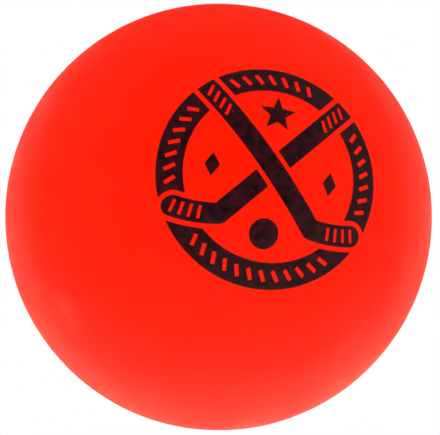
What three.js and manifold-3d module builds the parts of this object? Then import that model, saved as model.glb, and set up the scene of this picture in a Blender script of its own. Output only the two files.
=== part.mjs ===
// A low-bounce street and inline hockey ball: a hollow moulded PVC shell with a filler port at the back, the
// plug that closes the port, the liquid charge that deadens the bounce, and a round print whose islands of
// ink are each a thin curved solid.
//
// Millimetres and degrees, +Z up, origin at the ball's centre. The ball lies as photographed: the print faces
// the front, which is -Y, a little up and to the right, and the filler port faces back along +Y.
import * as THREE from "three";
import { mergeVertices } from "three/addons/utils/BufferGeometryUtils.js";
import Module from "manifold-3d";

const wasm = await Module();
wasm.setup();

// Ball and shell
const ballDiameter = 65;
const wall = 4;
const restFlatRadius = 2.5; // the soft ball flattens this far round the point that it rests on

// Filler port in the shell, from the bore outwards
const portBore = 4.4;
const bossLip = 3.6; // the wall is thicker for this far beyond the bore
const bossFlank = 1.8;
const bossHeight = 1.5;

// Filler plug
const headLip = 1.6; // beyond the bore
const headThickness = 1.6;
const barbLip = 0.7;
const barbLength = 2.6;
const barbShoulder = 0.9; // the barb is at its widest for this far before it tapers
const barbTipDiameter = 2.4;

// Liquid charge
const fillDepth = 13.5;

// Clearance between separate pieces
const slip = 0.3;

// Print: where it sits, and its ink
const printElevation = 22.7;
const printTurn = 14.9; // towards +X from the front
const printRoll = 13; // clockwise, seen from outside
const printRadius = 16.1;
const inkThickness = 0.15;
const inkLift = 0.06; // keeps the ink's flat facets clear of the shell's

// Print: broken ring with its row of slanted dashes
const ringBand = 3.5;
const ringGap = 0.75; // bare strip round the sticks, where they break the ring
const dashCount = 48;
const dashLength = 1.7;
const dashWidth = 0.62;
const dashSlant = 28; // also of the tape lines on the grips
const dashMargin = 0.55; // ink left between a dash and the end of its piece of ring

// Print: two crossed sticks
const crossingHeight = 0.6;
const stickTilt = 42; // from upright
const stickWidth = 2.9;
const heelReach = 9.6; // from the print's centre to the heel
const bladeRadius = 17; // of the blade's curve
const bladeStart = -7; // the blade's slope at the heel
const stickGap = 0.7; // bare strip round the front stick, where it crosses the rear one
const tapeCount = 4; // bare lines across a blade, and across a grip
const tapeWidth = 0.5;
const tapePitch = 1.25;
const tapeEdge = 0.5; // ink left beside a bare line

// Print: ball, star and diamonds between the sticks, each with the bare strip between it and the ring
const dotRadius = 2.1;
const dotGap = 1.8;
const starPoints = 5;
const starRadius = 2.7;
const starNotch = 1.15; // radius of its inner corners
const starGap = 1;
const diamondWidth = 2.1;
const diamondHeight = 3.4;
const diamondGap = 2.9;

// Fineness of the round faces, and the angle that counts as none
const tinyAngle = 1e-9;
const turnSegments = 60;
const outerSteps = 14; // for each half of the ball
const innerSteps = 14;
const poolSteps = 8;
const smallSegments = 36;
const headRings = 4;
const filmRings = 13;
const filmSegments = 56;
const curveSegments = 36;

// Sizes that follow
const ballRadius = ballDiameter / 2;
const cavityRadius = ballRadius - wall;
const boreRadius = portBore / 2;
const bossRadius = boreRadius + bossLip;
const bossFootRadius = bossRadius + bossFlank;
const bossFace = cavityRadius - bossHeight;
const shankRadius = boreRadius - slip;
const headRadius = boreRadius + headLip;
const headSeatRadius = headRadius + slip;
const headSeat = ballRadius - headThickness;
const ringInner = printRadius - ringBand;
const ringMiddle = printRadius - ringBand / 2;

const radians = THREE.MathUtils.degToRad;

// Points of a sphere's outline in a turned profile (x out from the axis, y along it), from one angle to
// another, both counted from the -y end.
function sphereArc(sphereRadius, fromAngle, toAngle, steps) {
  return Array.from({ length: steps + 1 }, (_, i) => {
    const angle = fromAngle + ((toAngle - fromAngle) * i) / steps;
    const onAxis = angle < tinyAngle || Math.PI - angle < tinyAngle;
    return new THREE.Vector2(onAxis ? 0 : sphereRadius * Math.sin(angle), -sphereRadius * Math.cos(angle));
  });
}

function points(...pairs) {
  return pairs.map(([x, y]) => new THREE.Vector2(x, y));
}

// A closed geometry as a solid that can be joined and cut, and back again.
function solidOf(geometry) {
  const bare = geometry.clone();
  bare.deleteAttribute("normal");
  bare.deleteAttribute("uv");
  const merged = mergeVertices(bare);
  return new wasm.Manifold(
    new wasm.Mesh({
      numProp: 3,
      vertProperties: merged.attributes.position.array,
      triVerts: new Uint32Array(merged.index.array),
    }),
  );
}

function geometryOf(solid) {
  const mesh = solid.getMesh();
  const geometry = new THREE.BufferGeometry();
  geometry.setAttribute("position", new THREE.BufferAttribute(mesh.vertProperties, 3));
  geometry.setIndex(new THREE.BufferAttribute(mesh.triVerts, 1));
  geometry.computeVertexNormals();
  return geometry;
}

const materials = {
  shell: new THREE.MeshStandardMaterial({ color: 0xfb2408, roughness: 0.48, metalness: 0 }),
  plug: new THREE.MeshStandardMaterial({ color: 0xe8220a, roughness: 0.6, metalness: 0 }),
  liquid: new THREE.MeshStandardMaterial({ color: 0xbfe0ea, roughness: 0.1, metalness: 0 }),
  ink: new THREE.MeshStandardMaterial({ color: 0x241116, roughness: 0.5, metalness: 0 }),
};

function named(name, geometry, material) {
  const mesh = new THREE.Mesh(geometry, material);
  mesh.name = name;
  return mesh;
}

// Shell: one hollow moulding. Its outside is turned about the upright axis, from the flat that it rests on.
// What is cut out of it is turned about the port's axis: the cavity, the bore and the seat.
function shell() {
  const flatAngle = Math.asin(restFlatRadius / ballRadius);
  const outside = [
    ...points([0, -ballRadius * Math.cos(flatAngle)]),
    ...sphereArc(ballRadius, flatAngle, Math.PI / 2, outerSteps),
    ...sphereArc(ballRadius, Math.PI / 2, Math.PI, outerSteps).slice(1),
  ];
  const footAngle = Math.PI - Math.asin(bossFootRadius / cavityRadius);
  const inside = [
    ...sphereArc(cavityRadius, 0, footAngle, innerSteps),
    ...points(
      [bossRadius, bossFace],
      [boreRadius, bossFace],
      [boreRadius, headSeat],
      [headSeatRadius, headSeat],
      [headSeatRadius, ballDiameter],
      [0, ballDiameter],
    ),
  ];
  const body = solidOf(new THREE.LatheGeometry(outside, turnSegments).rotateX(Math.PI / 2));
  const core = solidOf(new THREE.LatheGeometry(inside, turnSegments));
  return named("shell", geometryOf(body.subtract(core)), materials.shell);
}

// Filler plug: its head sits in the seat with its face flush with the ball, its shank fills the bore and its
// barb holds behind the boss.
function fillerPlug() {
  const rimAngle = Math.PI - Math.asin(headRadius / ballRadius);
  const shoulder = bossFace - slip;
  const tip = shoulder - barbLength;
  const profile = [
    ...points(
      [0, tip],
      [barbTipDiameter / 2, tip],
      [boreRadius + barbLip, shoulder - barbShoulder],
      [boreRadius + barbLip, shoulder],
      [shankRadius, shoulder],
      [shankRadius, headSeat],
      [headRadius, headSeat],
    ),
    ...sphereArc(ballRadius, rimAngle, Math.PI, headRings),
  ];
  return named("filler_plug", new THREE.LatheGeometry(profile, smallSegments), materials.plug);
}

// Liquid charge: the pool at the bottom of the cavity, level on top.
function liquidCharge() {
  const poolRadius = cavityRadius - slip;
  const level = fillDepth - cavityRadius;
  const shoreAngle = Math.acos(-level / poolRadius);
  const profile = [...sphereArc(poolRadius, 0, shoreAngle, poolSteps), ...points([0, level])];
  const pool = new THREE.LatheGeometry(profile, turnSegments).rotateX(Math.PI / 2);
  return named("liquid_charge", pool, materials.liquid);
}

// The print is drawn flat, as the plate that it is printed from, with x to the right and y up, and pressed
// straight onto the ball: each outline, as a prism, cuts its island out of one curved film of ink.
function prism(shape) {
  const geometry = new THREE.ExtrudeGeometry(shape, {
    depth: ballDiameter,
    bevelEnabled: false,
    curveSegments,
  });
  return solidOf(geometry);
}

function inkFilm() {
  const under = ballRadius + inkLift;
  const edge = Math.PI - Math.asin((printRadius + ringGap) / under);
  const profile = [
    ...sphereArc(under, Math.PI, edge, filmRings),
    ...sphereArc(under + inkThickness, edge, Math.PI, filmRings),
  ];
  return solidOf(new THREE.LatheGeometry(profile, filmSegments).rotateX(Math.PI / 2));
}

function disc(x, y, radius) {
  return new THREE.Shape().absarc(x, y, radius, 0, 2 * Math.PI);
}

// A closed outline through points turned by an angle about the origin and then moved.
function outline(corners, angle = 0, shift = new THREE.Vector2()) {
  const origin = new THREE.Vector2();
  return new THREE.Shape(corners.map((p) => p.clone().rotateAround(origin, angle).add(shift)));
}

// A bar with square ends, at an angle, about its middle.
function bar(middle, length, width, angle) {
  const x = length / 2;
  const y = width / 2;
  return outline(points([-x, -y], [x, -y], [x, y], [-x, y]), angle, middle);
}

// Each stick is drawn with its grip at the upper left and its blade at the lower right. Mirrored, it is the
// other one.
const crossing = new THREE.Vector2(0, crossingHeight);
const shaftWay = new THREE.Vector2(Math.sin(radians(stickTilt)), -Math.cos(radians(stickTilt)));
const bladeAngle = radians(bladeStart);

// How far along the stick, from the crossing, it is at a distance from the print's centre.
function alongStick(distance, way) {
  const lean = crossing.dot(shaftWay);
  return -lean + way * Math.sqrt(lean ** 2 + distance ** 2 - crossing.lengthSq());
}

function onStick(length) {
  return crossing.clone().addScaledVector(shaftWay, length);
}

const heelLength = alongStick(heelReach, 1);
const heel = onStick(heelLength);
const gripEnd = alongStick(printRadius + ringGap, -1);
const bladeCentre = new THREE.Vector2(-Math.sin(bladeAngle), Math.cos(bladeAngle))
  .multiplyScalar(bladeRadius)
  .add(heel);

// A point of the blade's curve, from the slope there.
function onBlade(slope) {
  const middle = new THREE.Vector2(Math.sin(slope), -Math.cos(slope)).multiplyScalar(bladeRadius);
  return middle.add(bladeCentre);
}

// The slope at the toe, where the blade's round end touches the outer edge of the ring from inside.
function toeSlope() {
  const toeReach = printRadius - stickWidth / 2;
  const centreReach = bladeCentre.length();
  const sine = (toeReach ** 2 - centreReach ** 2 - bladeRadius ** 2) / (2 * centreReach * bladeRadius);
  return bladeCentre.angle() + Math.asin(sine);
}

function bladeOutline(margin) {
  const half = stickWidth / 2 + margin;
  const from = bladeAngle - Math.PI / 2;
  const to = toeSlope() - Math.PI / 2;
  const toe = onBlade(toeSlope());
  const shape = new THREE.Shape();
  shape.absarc(bladeCentre.x, bladeCentre.y, bladeRadius + half, from, to);
  shape.absarc(toe.x, toe.y, half, to, to + Math.PI);
  shape.absarc(bladeCentre.x, bladeCentre.y, bladeRadius - half, to, from, true);
  shape.absarc(heel.x, heel.y, half, from + Math.PI, from + 2 * Math.PI);
  return shape;
}

// The stick's whole outline as a prism, with a margin round it.
function stickPrism(margin) {
  const middle = onStick((heelLength + gripEnd) / 2);
  const shaft = bar(middle, heelLength - gripEnd, stickWidth + 2 * margin, radians(stickTilt - 90));
  return prism(shaft).add(prism(bladeOutline(margin)));
}

// Bare lines of tape across the blade, from the toe, and round the grip, from its end.
function tapeLines() {
  const line = (middle, slope) => prism(bar(middle, tapeWidth, stickWidth - 2 * tapeEdge, slope));
  const lines = [];
  for (let i = 0; i < tapeCount; i++) {
    const slope = toeSlope() - (i * tapePitch) / bladeRadius;
    lines.push(line(onBlade(slope), slope));
    const grip = onStick(alongStick(printRadius, -1) + (i + 1) * tapePitch);
    lines.push(line(grip, radians(stickTilt - 90 + dashSlant)));
  }
  return lines;
}

const mirrored = (solid) => solid.mirror([1, 0, 0]);
const cutAll = (solid, cutters) => cutters.reduce((left, cutter) => left.subtract(cutter), solid);

// The broken ring: a band with slanted dashes left bare, cut away round both sticks. A dash too near a stick
// is left out, so that no dash opens into the gap.
function brokenRing(bothSticks, nearSticks) {
  const band = disc(0, 0, printRadius);
  band.holes.push(disc(0, 0, ringInner));
  const dashes = [];
  for (let i = 0; i < dashCount; i++) {
    const angle = (2 * Math.PI * (i + 0.5)) / dashCount;
    const middle = new THREE.Vector2(Math.cos(angle), Math.sin(angle)).multiplyScalar(ringMiddle);
    const dash = prism(bar(middle, dashLength, dashWidth, angle + radians(dashSlant)));
    if (dash.intersect(nearSticks).isEmpty()) dashes.push(dash);
  }
  return cutAll(prism(band).subtract(bothSticks), dashes).decompose();
}

function boxMiddle(solid) {
  const { min, max } = solid.boundingBox();
  return new THREE.Vector2((min[0] + max[0]) / 2, (min[1] + max[1]) / 2);
}

// The side of the print that an island lies on.
function sideOf(solid) {
  const { x, y } = boxMiddle(solid);
  if (Math.abs(x) > Math.abs(y)) return x > 0 ? "right" : "left";
  return y > 0 ? "top" : "bottom";
}

function dot() {
  return disc(0, dotRadius + dotGap - ringInner, dotRadius);
}

function star() {
  const corners = Array.from({ length: 2 * starPoints }, (_, i) => {
    const angle = (i * Math.PI) / starPoints;
    const radius = i % 2 ? starNotch : starRadius;
    return new THREE.Vector2(radius * Math.sin(angle), radius * Math.cos(angle));
  });
  return outline(corners, 0, new THREE.Vector2(0, ringInner - starRadius - starGap));
}

function diamond(side) {
  const x = diamondWidth / 2;
  const y = diamondHeight / 2;
  const middle = new THREE.Vector2(side * (ringInner - x - diamondGap), 0);
  return outline(points([x, 0], [0, y], [-x, 0], [0, -y]), 0, middle);
}

const rearStickPart = (solid) => (boxMiddle(solid).y > crossing.y ? "grip" : "blade");

// Every island of the print as [name, prism].
function printIslands() {
  const round = prism(disc(0, 0, printRadius));
  const lines = tapeLines();
  const frontWhole = stickPrism(0);
  const rearWhole = mirrored(frontWhole);
  const wide = stickPrism(ringGap);
  const wider = stickPrism(ringGap + dashMargin);
  const front = cutAll(frontWhole.intersect(round), lines);
  const rear = cutAll(rearWhole.intersect(round), lines.map(mirrored))
    .subtract(stickPrism(stickGap))
    .decompose();
  const ring = brokenRing(wide.add(mirrored(wide)), wider.add(mirrored(wider)));
  return [
    ...ring.map((piece) => ["print_ring_" + sideOf(piece), piece]),
    ["print_front_stick", front],
    ...rear.map((piece) => ["print_rear_stick_" + rearStickPart(piece), piece]),
    ["print_ball", prism(dot())],
    ["print_star", prism(star())],
    ["print_diamond_left", prism(diamond(-1))],
    ["print_diamond_right", prism(diamond(1))],
  ];
}

// The print's group: its local +Z is the ball's outward normal at the print's centre, its +Y the print's top.
function print() {
  const film = inkFilm();
  const group = new THREE.Group();
  for (const [name, island] of printIslands()) {
    group.add(named(name, geometryOf(film.intersect(island)), materials.ink));
  }
  return group.rotateZ(radians(printTurn)).rotateX(radians(90 - printElevation)).rotateZ(radians(-printRoll));
}

const ball = new THREE.Group();
ball.add(shell(), fillerPlug(), liquidCharge(), print());

export default ball;
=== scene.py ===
import math

import bmesh
import bpy
from mathutils import Matrix, Vector


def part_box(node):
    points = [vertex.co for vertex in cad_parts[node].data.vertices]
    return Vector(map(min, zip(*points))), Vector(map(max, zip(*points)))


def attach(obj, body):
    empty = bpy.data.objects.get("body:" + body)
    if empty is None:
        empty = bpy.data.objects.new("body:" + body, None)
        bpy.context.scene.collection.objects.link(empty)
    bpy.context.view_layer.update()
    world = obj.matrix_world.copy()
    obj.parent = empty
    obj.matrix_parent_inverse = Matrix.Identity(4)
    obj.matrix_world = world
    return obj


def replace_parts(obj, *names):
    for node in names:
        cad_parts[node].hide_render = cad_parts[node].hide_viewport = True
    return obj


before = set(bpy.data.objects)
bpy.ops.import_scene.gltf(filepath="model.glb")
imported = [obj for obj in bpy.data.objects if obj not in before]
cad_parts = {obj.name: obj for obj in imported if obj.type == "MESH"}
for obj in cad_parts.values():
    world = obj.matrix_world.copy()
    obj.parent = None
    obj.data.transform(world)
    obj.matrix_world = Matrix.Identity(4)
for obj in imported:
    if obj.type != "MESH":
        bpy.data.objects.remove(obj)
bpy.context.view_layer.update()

# Shell. The hollow ball itself, moulded in PVC that is red-orange all through, with the mould's satin skin.
# The mould's halves met on a line that is trimmed flush, just behind the photographed side. The wall is
# thicker round the filling port at the back, and the ball is a little flat where it rests.
ball_radius = 0.0325
cavity_radius = 0.0285
rest_drop = -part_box("shell")[0].z
port_radius = 0.0022
seat_radius = 0.0041
seat_depth = 0.0016
seat_floor = ball_radius - seat_depth
boss_radius = 0.0058
boss_foot_radius = 0.0076
boss_face = 0.027
moulded_edge = 0.00012
crease_angle = math.radians(40)
weld_distance = 1e-6
shell_red = (0.95, 0.0094, 0.0004, 1)
shell_deep_red = (0.87, 0.0070, 0.0003, 1)
smudge_pale = (0.97, 0.052, 0.036, 1)
speck_dark = (0.52, 0.0045, 0.0012, 1)


def swing(outline, start, degrees, steps):
    """Swings a vertex round the ball's centre, and returns its arc's last vertex. A positive angle goes from
    the bottom to the back and on to the top."""
    arc = bmesh.ops.spin(
        outline, geom=[start], cent=(0, 0, 0), axis=(1, 0, 0), angle=math.radians(degrees), steps=steps)
    return arc["geom_last"][0]


def draw_straight(outline, start, *corners):
    """Draws straight lines from a vertex through corners, and returns the last one. Each corner is given by
    its y and z in the plane that halves the ball from front to back."""
    for y, z in corners:
        corner = outline.verts.new((0, y, z))
        outline.edges.new((start, corner))
        start = corner
    return start


def turn_full_circle(outline, axis, segments):
    """Turns the outline once round an axis through the ball's centre, and closes its poles."""
    bmesh.ops.spin(
        outline, geom=outline.verts[:] + outline.edges[:], cent=(0, 0, 0), axis=axis, angle=math.tau,
        steps=segments, use_merge=True,
    )
    bmesh.ops.remove_doubles(outline, verts=outline.verts, dist=weld_distance)
    bmesh.ops.recalc_face_normals(outline, faces=outline.faces)


def ease_edges(skin, width):
    """Rounds every edge that is sharp enough to be a crease."""
    creases = [edge for edge in skin.edges if edge.is_manifold and edge.calc_face_angle() > crease_angle]
    bmesh.ops.bevel(
        skin, geom=creases, offset=width, affect="EDGES", segments=3, profile=0.5, material=-1,
        clamp_overlap=True,
    )


def finished_piece(name, skin, material, body):
    """Makes the mesh into a named piece that rides on a body."""
    mesh = bpy.data.meshes.new(name)
    skin.to_mesh(mesh)
    skin.free()
    mesh.shade_smooth()
    mesh.set_sharp_from_angle(angle=crease_angle)
    mesh.materials.append(material)
    piece = bpy.data.objects.new(name, mesh)
    bpy.context.scene.collection.objects.link(piece)
    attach(piece, body)
    return piece


def shader_node(tree, kind, sockets=None, **settings):
    """Adds a shader node with its settings, and sets or links its input sockets."""
    made = tree.nodes.new(kind)
    for name, value in settings.items():
        setattr(made, name, value)
    for socket, value in (sockets or {}).items():
        if isinstance(value, bpy.types.NodeSocket):
            tree.links.new(value, made.inputs[socket])
        else:
            made.inputs[socket].default_value = value
    return made


def reckon(tree, operation, first, second=0.0, clamp=False):
    """Works out a value from one or two others."""
    return shader_node(
        tree, "ShaderNodeMath", {0: first, 1: second}, operation=operation, use_clamp=clamp).outputs[0]


def fade(tree, value, low, high, at_low, at_high, smooth=False):
    """Fades from one number to another while a value goes from low to high."""
    ends = {"Value": value, "From Min": low, "From Max": high, "To Min": at_low, "To Max": at_high}
    kind = "SMOOTHSTEP" if smooth else "LINEAR"
    return shader_node(tree, "ShaderNodeMapRange", ends, interpolation_type=kind).outputs["Result"]


def mix_colours(tree, share, first, second):
    """Mixes the second colour into the first one by a share from 0 to 1. A Mix node has its two colours at
    sockets 6 and 7, and puts out the mixed one at socket 2."""
    return shader_node(tree, "ShaderNodeMix", {0: share, 6: first, 7: second}, data_type="RGBA").outputs[2]


def finish_group(name, inputs, outputs):
    """Starts a node group for a finish that several materials share, and returns it with the values that come
    in. What comes in, here with its usual values, and what goes out are numbers."""
    group = bpy.data.node_groups.new(name, "ShaderNodeTree")
    for socket, usual in inputs.items():
        made = group.interface.new_socket(socket, in_out="INPUT", socket_type="NodeSocketFloat")
        made.default_value = usual
    for socket in outputs:
        group.interface.new_socket(socket, in_out="OUTPUT", socket_type="NodeSocketFloat")
    return group, shader_node(group, "NodeGroupInput").outputs


def plastic_finish(name, colour, sockets):
    """Starts a material with one Principled BSDF, and returns it with its tree and the shader's sockets."""
    material = bpy.data.materials.new(name)
    material.use_nodes = True
    material.diffuse_color = colour
    surface = material.node_tree.nodes["Principled BSDF"].inputs
    surface["Base Color"].default_value = colour
    for socket, value in sockets.items():
        surface[socket].default_value = value
    return material, material.node_tree, surface


# The satin skin is fine grain, a third of a millimetre across, on soft swells of several millimetres. The
# higher a swell, the duller it is and the more it takes of the material's second colour.
swell_height = 0.8
satin_skin, wanted = finish_group(
    "satin_skin",
    {"Grains per metre": 3200.0, "Swells per metre": 140.0, "Least roughness": 0.46, "Most roughness": 0.56},
    ["Height", "Roughness", "Mottle"],
)
place = shader_node(satin_skin, "ShaderNodeTexCoord").outputs["Object"]
grain = shader_node(satin_skin, "ShaderNodeTexNoise", {
    "Vector": place, "Scale": wanted["Grains per metre"], "Detail": 3.0, "Roughness": 0.6}).outputs["Fac"]
swell = shader_node(satin_skin, "ShaderNodeTexNoise", {
    "Vector": place, "Scale": wanted["Swells per metre"], "Detail": 4.0, "Roughness": 0.55}).outputs["Fac"]
raised_swell = reckon(satin_skin, "MULTIPLY", swell, swell_height)
shader_node(satin_skin, "NodeGroupOutput", {
    "Height": reckon(satin_skin, "ADD", grain, raised_swell),
    "Roughness": fade(
        satin_skin, swell, low=0.3, high=0.7,
        at_low=wanted["Least roughness"], at_high=wanted["Most roughness"]),
    "Mottle": fade(satin_skin, swell, low=0.35, high=0.75, at_low=0.0, at_high=1.0),
})

shell_pvc, tree, surface = plastic_finish("pvc_shell", shell_red, {"IOR": 1.5})
shell_skin = shader_node(tree, "ShaderNodeGroup", node_tree=satin_skin).outputs
place = shader_node(tree, "ShaderNodeTexCoord").outputs["Object"]

# The parting line lies in a plane through the centre that leans back from upright. It is 0.2 mm wide, and
# fades out over 0.2 mm on either side.
parting_lean = math.radians(12)
parting_half_width = 0.0001
parting_fade_end = 0.0003
parting_facing = (0, -math.cos(parting_lean), math.sin(parting_lean))
off_parting = shader_node(
    tree, "ShaderNodeVectorMath", {0: place, 1: parting_facing}, operation="DOT_PRODUCT").outputs["Value"]
parting = fade(
    tree, reckon(tree, "ABSOLUTE", off_parting), parting_half_width, parting_fade_end,
    at_low=1.0, at_high=0.0, smooth=True)

# A pale smudge from handling lies low on the left, broken up into spots about a millimetre across.
smudge_at = (-0.0221, -0.0219, -0.0093)
smudge_core = 0.0006
smudge_reach = 0.0040
smudge_strength = 0.9
smudge_spots_per_metre = 900.0
from_smudge = shader_node(
    tree, "ShaderNodeVectorMath", {0: place, 1: smudge_at}, operation="DISTANCE").outputs["Value"]
smudge_spots = shader_node(tree, "ShaderNodeTexNoise", {
    "Vector": place, "Scale": smudge_spots_per_metre, "Detail": 3.0, "Roughness": 0.65}).outputs["Fac"]
smudge = reckon(
    tree, "MULTIPLY",
    fade(tree, from_smudge, smudge_core, smudge_reach, at_low=smudge_strength, at_high=0.0, smooth=True),
    fade(tree, smudge_spots, low=0.38, high=0.62, at_low=0.0, at_high=1.0),
)

# A few pinhead pits caught dust in the mould. Each cell of 3 mm may hold one, where its random number passes
# the threshold, and most hold none. A pit's radius is a share of its cell.
pit_cells_per_metre = 330.0
pit_threshold = 0.62
pit_largest_radius = 0.11
pit_steepness = 14.0
pit_cells = shader_node(tree, "ShaderNodeTexVoronoi", {"Vector": place, "Scale": pit_cells_per_metre}).outputs
pit_radius = fade(tree, pit_cells["Color"], pit_threshold, 1.0, at_low=0.0, at_high=pit_largest_radius)
pit_bowl = reckon(tree, "SUBTRACT", pit_radius, pit_cells["Distance"], clamp=True)
pit = reckon(tree, "MULTIPLY", pit_bowl, pit_steepness, clamp=True)

# The red is mottled with the swells of the skin. The pits and the parting line hold a little dust, and the
# parting line is duller where it was trimmed.
mottle_share = 0.35
dust_share = 0.5
trimmed_duller = 0.08
mottle = reckon(tree, "MULTIPLY", shell_skin["Mottle"], mottle_share)
mottled = mix_colours(tree, mottle, shell_red, shell_deep_red)
handled = mix_colours(tree, smudge, mottled, smudge_pale)
dust = reckon(tree, "MULTIPLY", reckon(tree, "MAXIMUM", pit, parting), dust_share)
tree.links.new(mix_colours(tree, dust, handled, speck_dark), surface["Base Color"])
parting_dullness = reckon(tree, "MULTIPLY", parting, trimmed_duller)
tree.links.new(reckon(tree, "ADD", shell_skin["Roughness"], parting_dullness), surface["Roughness"])
skin_bump = shader_node(tree, "ShaderNodeBump", {
    "Strength": 1.0, "Distance": 0.00012, "Height": reckon(tree, "SUBTRACT", shell_skin["Height"], pit)})
parting_bump = shader_node(tree, "ShaderNodeBump", {
    "Strength": 0.7, "Distance": 0.00010, "Height": parting, "Normal": skin_bump.outputs["Normal"]})
tree.links.new(parting_bump.outputs["Normal"], surface["Normal"])

# The wall's outline lies in the upper half of the ball, from the front to the port at the back, and is turned
# about the port's axis. The ball is then cut flat where it rests.
skin = bmesh.new()
seat_angle = math.degrees(math.asin(seat_radius / ball_radius))
boss_foot_angle = math.degrees(math.asin(boss_foot_radius / cavity_radius))
outer_front = skin.verts.new((0, -ball_radius, 0))
cavity_front = skin.verts.new((0, -cavity_radius, 0))
seat_rim = swing(skin, outer_front, seat_angle - 180, steps=124)
boss_foot = swing(skin, cavity_front, boss_foot_angle - 180, steps=48)
boss_rim = draw_straight(
    skin, seat_rim,
    (seat_floor, seat_radius), (seat_floor, port_radius), (boss_face, port_radius), (boss_face, boss_radius),
)
skin.edges.new((boss_rim, boss_foot))
turn_full_circle(skin, axis=(0, 1, 0), segments=192)
ease_edges(skin, moulded_edge)
rest_cut = bmesh.ops.bisect_plane(
    skin, geom=skin.verts[:] + skin.edges[:] + skin.faces[:],
    plane_co=(0, 0, -rest_drop), plane_no=(0, 0, -1), clear_outer=True,
)
rest_rim = [cut for cut in rest_cut["geom_cut"] if isinstance(cut, bmesh.types.BMEdge)]
bmesh.ops.edgeloop_fill(skin, edges=rest_rim)
shell = finished_piece("ball_shell", skin, shell_pvc, "ball")
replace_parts(shell, "shell")

# Liquid charge. About 13 ml of water with antifreeze, filled in through the port before it was plugged. It
# lies in the bottom of the cavity, climbs the wall a little at its edge, and splashes to deaden the bounce.
pool_radius = 0.0284
pool_level = -0.015
shore_climb = 0.0006
shore_reach = 0.0024
liquid_tint = (0.80, 0.90, 0.93, 1)
liquid_cloudy_tint = (0.66, 0.84, 0.89, 1)

liquid_look, tree, surface = plastic_finish("antifreeze_water", liquid_tint, {
    "IOR": 1.35, "Roughness": 0.03, "Transmission Weight": 0.9})
place = shader_node(tree, "ShaderNodeTexCoord").outputs["Object"]
cloud = shader_node(tree, "ShaderNodeTexNoise", {
    "Vector": place, "Scale": 180.0, "Detail": 3.0}).outputs["Fac"]
cloudiness = fade(tree, cloud, low=0.4, high=0.7, at_low=0.0, at_high=1.0)
tree.links.new(mix_colours(tree, cloudiness, liquid_tint, liquid_cloudy_tint), surface["Base Color"])
ripple = shader_node(tree, "ShaderNodeBump", {"Strength": 0.2, "Distance": 0.0002, "Height": cloud})
tree.links.new(ripple.outputs["Normal"], surface["Normal"])

# The shore is the curve from the wall down to the level pool, steep at the wall and flat at its other end.
pool = bmesh.new()
shore_angle = math.degrees(math.acos(-(pool_level + shore_climb) / pool_radius))
shore = swing(pool, pool.verts.new((0, 0, -pool_radius)), shore_angle, steps=36)
shore_curve = [
    (shore.co.y - share * shore_reach, pool_level + (1 - share) ** 4 * shore_climb)
    for share in (0.2, 0.5, 1.0)
]
draw_straight(pool, shore, *shore_curve, (0, pool_level))
turn_full_circle(pool, axis=(0, 0, 1), segments=96)
liquid = finished_piece("liquid_pool", pool, liquid_look, "liquid")
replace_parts(liquid, "liquid_charge")

# Filler plug. A barbed PVC peg, pushed through the port once the liquid was in, set in a bead of the same red
# PVC glue and trimmed flush. The trimming left it duller than the skin, with fine turned marks.
head_radius = 0.0038
shank_radius = 0.0019
barb_radius = 0.0029
barb_shoulder = 0.0267
barb_neck = 0.0258
plug_tip = 0.0241
tip_radius = 0.0012
glue_clearance = 0.00003
glue_radius = seat_radius - glue_clearance
glue_floor = seat_floor + glue_clearance
glue_drop = 0.00014
glue_slope = 0.00004
trimmed_edge = 0.00005
turned_marks_per_metre = 4500.0
gate_mark_radius = 0.00035
gate_mark_fade_end = 0.00060
gate_mark_depth = 0.6
glue_line_half_width = 0.0001
glue_line_fade_end = 0.0002
glue_line_share = 0.6
plug_red = (0.86, 0.0085, 0.0020, 1)
glue_red = (0.60, 0.0060, 0.0015, 1)

plug_pvc, tree, surface = plastic_finish("pvc_plug", plug_red, {"IOR": 1.5})
plug_skin = shader_node(tree, "ShaderNodeGroup", {
    "Grains per metre": 5200.0, "Swells per metre": 260.0, "Least roughness": 0.56, "Most roughness": 0.68,
}, node_tree=satin_skin).outputs
place = shader_node(tree, "ShaderNodeTexCoord").outputs["Object"]

# The plug's axis is the Y axis, so a point's x and z alone say how far from it the point lies.
off_axis = shader_node(
    tree, "ShaderNodeVectorMath", {0: place, 1: (1, 0, 1)}, operation="MULTIPLY").outputs["Vector"]
from_axis = shader_node(tree, "ShaderNodeVectorMath", {0: off_axis}, operation="LENGTH").outputs["Value"]
turned = shader_node(tree, "ShaderNodeTexNoise", {
    "W": from_axis, "Scale": turned_marks_per_metre, "Detail": 2.0}, noise_dimensions="1D").outputs["Fac"]
gate_mark = fade(
    tree, from_axis, gate_mark_radius, gate_mark_fade_end,
    at_low=gate_mark_depth, at_high=0.0, smooth=True)
off_glue = reckon(tree, "ABSOLUTE", reckon(tree, "SUBTRACT", from_axis, (head_radius + glue_radius) / 2))
glue_line = fade(
    tree, off_glue, glue_line_half_width, glue_line_fade_end, at_low=glue_line_share, at_high=0.0)
tree.links.new(mix_colours(tree, glue_line, plug_red, glue_red), surface["Base Color"])
tree.links.new(plug_skin["Roughness"], surface["Roughness"])
plug_grain = shader_node(tree, "ShaderNodeBump", {
    "Strength": 0.7, "Distance": 0.00006, "Height": plug_skin["Height"]})
plug_marks = shader_node(tree, "ShaderNodeBump", {
    "Strength": 0.8, "Distance": 0.00010, "Height": reckon(tree, "SUBTRACT", turned, gate_mark),
    "Normal": plug_grain.outputs["Normal"],
})
tree.links.new(plug_marks.outputs["Normal"], surface["Normal"])

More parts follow.
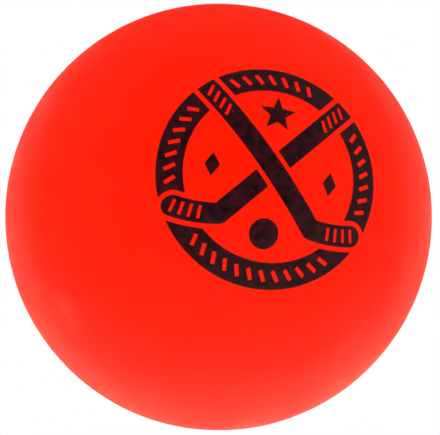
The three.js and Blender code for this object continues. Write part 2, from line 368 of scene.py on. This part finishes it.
# The outline runs from the head's middle over the bead of glue to the shank, the barb and the tip.
peg = bmesh.new()
head_angle = math.degrees(math.asin(head_radius / ball_radius))
head_rim = swing(peg, peg.verts.new((0, ball_radius, 0)), head_angle, steps=10)
glue_face = head_rim.co.y - glue_drop
draw_straight(
    peg, head_rim,
    (glue_face, head_radius + glue_slope), (glue_face, glue_radius), (glue_floor, glue_radius),
    (glue_floor, shank_radius), (barb_shoulder, shank_radius),
    (barb_shoulder, barb_radius), (barb_neck, barb_radius),
    (plug_tip, tip_radius), (plug_tip, 0),
)
turn_full_circle(peg, axis=(0, 1, 0), segments=96)
ease_edges(peg, trimmed_edge)
plug = finished_piece("port_plug", peg, plug_pvc, "ball")
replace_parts(plug, "filler_plug")

# Print. One layer of near-black ink, pressed onto the front of the ball by a soft pad from a flat plate. It
# lies on the skin as separate islands: a broken ring of dashes, two crossed sticks, a ball, a star and two
# diamonds. The ink is about as thick as paint, so the red comes through it in thin patches and pinholes.
ink_clearance = 0.00002
ink_height = 0.00006
ink_under = ball_radius + ink_clearance
ink_face = ball_radius + ink_height
ink_speckles_per_metre = 2600.0
ink_black = (0.007, 0.0023, 0.0040, 1)
ink_thin = (0.044, 0.0051, 0.0094, 1)

ink, tree, surface = plastic_finish("print_ink", ink_black, {"IOR": 1.5})
ink_skin = shader_node(tree, "ShaderNodeGroup", {
    "Grains per metre": 4000.0, "Swells per metre": 850.0, "Least roughness": 0.40, "Most roughness": 0.52,
}, node_tree=satin_skin).outputs
place = shader_node(tree, "ShaderNodeTexCoord").outputs["Object"]
speckle = shader_node(tree, "ShaderNodeTexNoise", {
    "Vector": place, "Scale": ink_speckles_per_metre, "Detail": 2.0, "Roughness": 0.5}).outputs["Fac"]
pinholes = fade(tree, speckle, low=0.71, high=0.78, at_low=0.0, at_high=0.5)
patchy_black = mix_colours(tree, ink_skin["Mottle"], ink_black, ink_thin)
tree.links.new(mix_colours(tree, pinholes, patchy_black, shell_deep_red), surface["Base Color"])
tree.links.new(ink_skin["Roughness"], surface["Roughness"])
ink_bump = shader_node(tree, "ShaderNodeBump", {
    "Strength": 0.5, "Distance": 0.00003, "Height": ink_skin["Height"]})
tree.links.new(ink_bump.outputs["Normal"], surface["Normal"])

# Each island is a copy of its CAD node, welded and set on the finer sphere, with its two faces at the ink's
# own heights.
for node_name in sorted(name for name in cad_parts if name.startswith("print_")):
    island = bmesh.new()
    island.from_mesh(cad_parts[node_name].data)
    bmesh.ops.remove_doubles(island, verts=island.verts, dist=weld_distance)
    heights = [vertex.co.length for vertex in island.verts]
    halfway = (min(heights) + max(heights)) / 2
    for vertex in island.verts:
        vertex.co = vertex.co.normalized() * (ink_face if vertex.co.length > halfway else ink_under)
    piece_name = node_name.replace("print_", "ink_", 1)
    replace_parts(finished_piece(piece_name, island, ink, "ball"), node_name)

# Floor and backdrop. One seamless sheet of white studio paper, so bright that it runs into the white round
# the ball. It shows only to the camera and through something clear, because the light box below gives the
# light that it would throw back, and it can be seen through from underneath.
paper_reach = 3.0
paper_white = (1, 1, 1, 1)


def shown_to_camera(tree):
    """Gives 1 for rays from the camera, also once they went through something clear, and 0 for the others."""
    ray = shader_node(tree, "ShaderNodeLightPath").outputs
    return reckon(tree, "MAXIMUM", ray["Is Camera Ray"], ray["Is Transmission Ray"])


paper = bpy.data.materials.new("studio_paper")
paper.use_nodes = True
paper.cycles.emission_sampling = "NONE"
tree = paper.node_tree
tree.nodes.clear()
lit_paper = shader_node(tree, "ShaderNodeEmission", {"Color": paper_white, "Strength": shown_to_camera(tree)})
underneath = shader_node(tree, "ShaderNodeNewGeometry").outputs["Backfacing"]
seen_through = shader_node(tree, "ShaderNodeBsdfTransparent")
paper_sides = shader_node(tree, "ShaderNodeMixShader", {
    0: underneath, 1: lit_paper.outputs[0], 2: seen_through.outputs[0]})
shader_node(tree, "ShaderNodeOutputMaterial", {"Surface": paper_sides.outputs[0]})

sheet = bmesh.new()
bmesh.ops.create_circle(sheet, cap_ends=True, segments=96, radius=paper_reach)
bmesh.ops.translate(sheet, verts=sheet.verts, vec=(0, 0, -rest_drop))
floor_mesh = bpy.data.meshes.new("studio_floor")
sheet.to_mesh(floor_mesh)
sheet.free()
floor_mesh.materials.append(paper)
floor = bpy.data.objects.new("studio_floor", floor_mesh)
floor.visible_shadow = False
floor.visible_diffuse = False
floor.visible_glossy = False
bpy.context.scene.collection.objects.link(floor)

backdrop = bpy.data.worlds.new("white_backdrop")
bpy.context.scene.world = backdrop
backdrop.use_nodes = True
backdrop.cycles.sampling_method = "NONE"
tree = backdrop.node_tree
tree.nodes.clear()
white = shader_node(tree, "ShaderNodeBackground", {"Color": paper_white, "Strength": shown_to_camera(tree)})
shader_node(tree, "ShaderNodeOutputWorld", {"Surface": white.outputs[0]})

# Light. A closed light box of six soft panels, turned so that one panel lies behind and under the ball, where
# the lit paper is. The even light of the box brings out the colours. Its sheen is what the satin skin
# reflects: a little yellow, brightest from the paper and dark from the photographer's side.
box_lean = math.radians(-37)
box_turn = Matrix.Rotation(box_lean, 4, "X")
box_reach = 1.0
even_light = 1.2
sheen_tint = (1, 0.96, 0.73)


def panel(name, way, brightness, colours, sheen):
    """Hangs one panel of the light box, which lights only the colours or only the sheen of things."""
    lamp = bpy.data.lights.new(name, "AREA")
    lamp.color = sheen_tint if sheen else (1, 1, 1)
    lamp.size = 2 * box_reach
    lamp.energy = math.pi * lamp.size ** 2 * brightness
    lamp.cycles.use_multiple_importance_sampling = False
    hung = bpy.data.objects.new(name, lamp)
    facing = way.to_track_quat("Z", "Y").to_matrix().to_4x4()
    hung.matrix_world = box_turn @ Matrix.Translation(way * box_reach) @ facing
    hung.visible_camera = False
    hung.visible_diffuse = colours
    hung.visible_glossy = sheen
    bpy.context.scene.collection.objects.link(hung)


for side, way, sheen_brightness in (
    ("behind", Vector((0, 1, 0)), 0.91),
    ("below", Vector((0, 0, -1)), 0.25),
    ("above", Vector((0, 0, 1)), 0.14),
    ("left", Vector((-1, 0, 0)), 0.165),
    ("right", Vector((1, 0, 0)), 0.165),
    ("front", Vector((0, -1, 0)), 0.0),
):
    panel("even_light_" + side, way, even_light, colours=True, sheen=False)
    if sheen_brightness:
        panel("sheen_" + side, way, sheen_brightness, colours=False, sheen=True)

# Camera. A long lens 400 mm from the ball's centre and 12 degrees above it, moved a hair right and down, as
# the photo frames the ball. Blender takes the lens and the sensor in millimetres.
lens_distance = 0.4
camera_rise = math.radians(12)
aim_right = 0.00022
aim_down = 0.00009
lens_millimetres = 214.17
sensor_millimetres = 36
camera_data = bpy.data.cameras.new("camera")
camera_data.sensor_width = sensor_millimetres
camera_data.lens = lens_millimetres
camera = bpy.data.objects.new("camera", camera_data)
bpy.context.scene.collection.objects.link(camera)
bpy.context.scene.camera = camera
camera.rotation_euler = (math.radians(90) - camera_rise, 0, 0)
towards_camera = Vector((0, -math.cos(camera_rise), math.sin(camera_rise)))
view_right = Vector((1, 0, 0))
view_up = Vector((0, math.sin(camera_rise), math.cos(camera_rise)))
camera.location = lens_distance * towards_camera + aim_right * view_right - aim_down * view_up

bpy.context.scene.view_settings.view_transform = "Standard"
